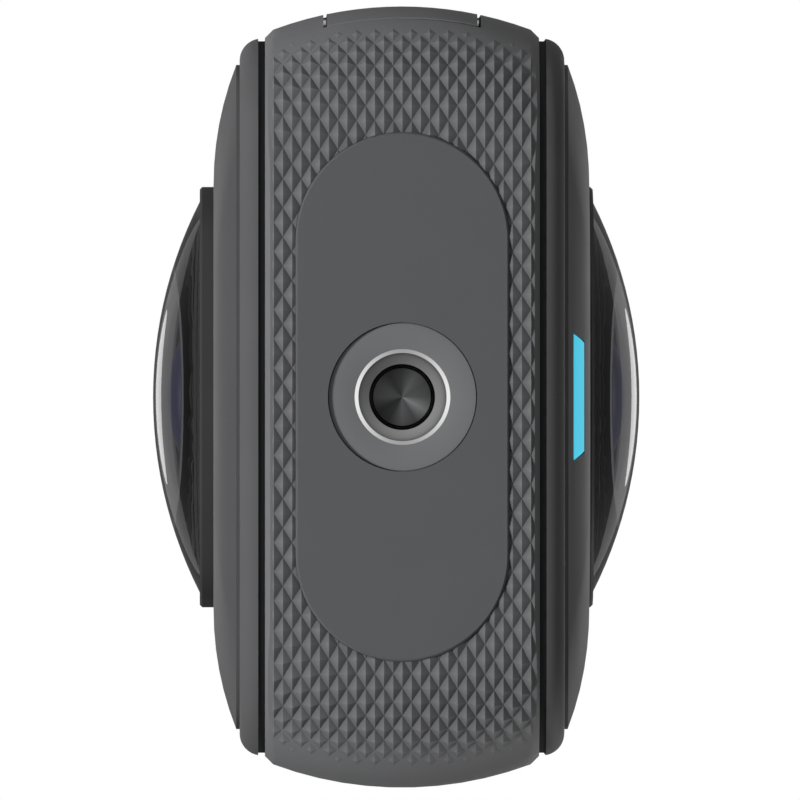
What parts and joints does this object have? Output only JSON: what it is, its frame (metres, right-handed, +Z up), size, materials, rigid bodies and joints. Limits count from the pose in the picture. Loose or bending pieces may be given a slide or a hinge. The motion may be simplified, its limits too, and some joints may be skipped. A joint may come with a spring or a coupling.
{
  "type": "360 degree camera",
  "caption": "Slim upright pocket camera with a fisheye lens on each face, round screen, tripod socket, hinged port door and slide-out battery with latch.",
  "frame": {"origin": "centre of the foot plate's outer face, on the tripod socket's axis", "axes": "+Z up towards the lenses, -Y out of the screen side, +X towards the battery"},
  "size_m": [0.0462, 0.0298, 0.113],
  "materials": {
    "grip": "knurled satin grip plastic",
    "shell": "fine matt moulded plastic",
    "cover": "satin black moulded plastic",
    "seal": "black silicone",
    "foot": "smooth matt plastic",
    "socket": "turned aluminium",
    "steel": "plated steel",
    "lens_ring": "black anodised aluminium",
    "dome_glass": "coated glass",
    "barrel": "flat black plastic",
    "optics": "coated glass",
    "board": "solder mask",
    "carrier": "black anodised cast alloy",
    "can": "tinned steel",
    "spreader": "rolled sheet",
    "screen_glass": "black-edged cover glass",
    "screen_panel": "dark display panel",
    "status_light": "lit cyan light guide",
    "button": "fine matt moulded plastic",
    "battery": "matt moulded case",
    "bay": "moulded plastic",
    "gold": "gold flashed"
  },
  "bodies": {
    "camera": {"mid_frame": "grip", "front_shell": "shell", "rear_shell": "shell", "front_cover": "cover", "rear_cover": "cover", "front_seal": "seal", "rear_seal": "seal", "shell_screws": "steel", "base_plate": "foot", "tripod_socket": "socket", "socket_plate": "steel", "socket_screws": "steel", "front_lens_ring": "lens_ring", "rear_lens_ring": "lens_ring", "front_lens_dome": "dome_glass", "rear_lens_dome": "dome_glass", "front_lens_barrel": "barrel", "rear_lens_barrel": "barrel", "front_lens_element": "optics", "rear_lens_element": "optics", "front_prism": "optics", "rear_prism": "optics", "front_relay_lens": "optics", "rear_relay_lens": "optics", "front_sensor_board": "board", "rear_sensor_board": "board", "lens_carrier": "carrier", "main_board": "board", "shield_can": "can", "board_screws": "steel", "heat_spreader": "spreader", "card_socket": "can", "display_glass": "screen_glass", "display_panel": "screen_panel", "light_guide": "status_light", "led_board": "board", "shutter_switch": "board", "power_switch": "board", "usb_port": "can", "usb_board": "board", "usb_hinge_pin": "steel", "battery_bay": "bay", "contact_block": "bay", "speaker": "bay", "microphones": "gold", "antenna": "gold"},
    "shutter": {"shutter_button": "button", "shutter_clip": "steel"},
    "power": {"power_button": "button"},
    "door": {"usb_door": "grip", "usb_door_seal": "seal"},
    "battery": {"battery_cell": "battery", "battery_cap": "grip", "battery_seal": "seal", "battery_pads": "gold"},
    "latch": {"battery_latch": "button"}
  },
  "joints": [
    {"name": "shutter_press", "type": "slide", "parent": "camera", "child": "shutter", "axis": [0, 1, 0], "range_m": [0, 0.0003], "stiffness_N_per_m": 800},
    {"name": "power_press", "type": "slide", "parent": "camera", "child": "power", "axis": [1, 0, 0], "range_m": [0, 0.0003], "stiffness_N_per_m": 800},
    {"name": "door_swing", "type": "hinge", "parent": "camera", "child": "door", "pos_m": [-0.0221, 0, 0.0245], "axis": [0, 1, 0], "range_deg": [0, 95]},
    {"name": "battery_slide", "type": "slide", "parent": "camera", "child": "battery", "axis": [1, 0, 0], "range_m": [0, 0.034]},
    {"name": "latch_slide", "type": "slide", "parent": "battery", "child": "latch", "axis": [0, 0, 1], "range_m": [0, 0.0024]}
  ]
}
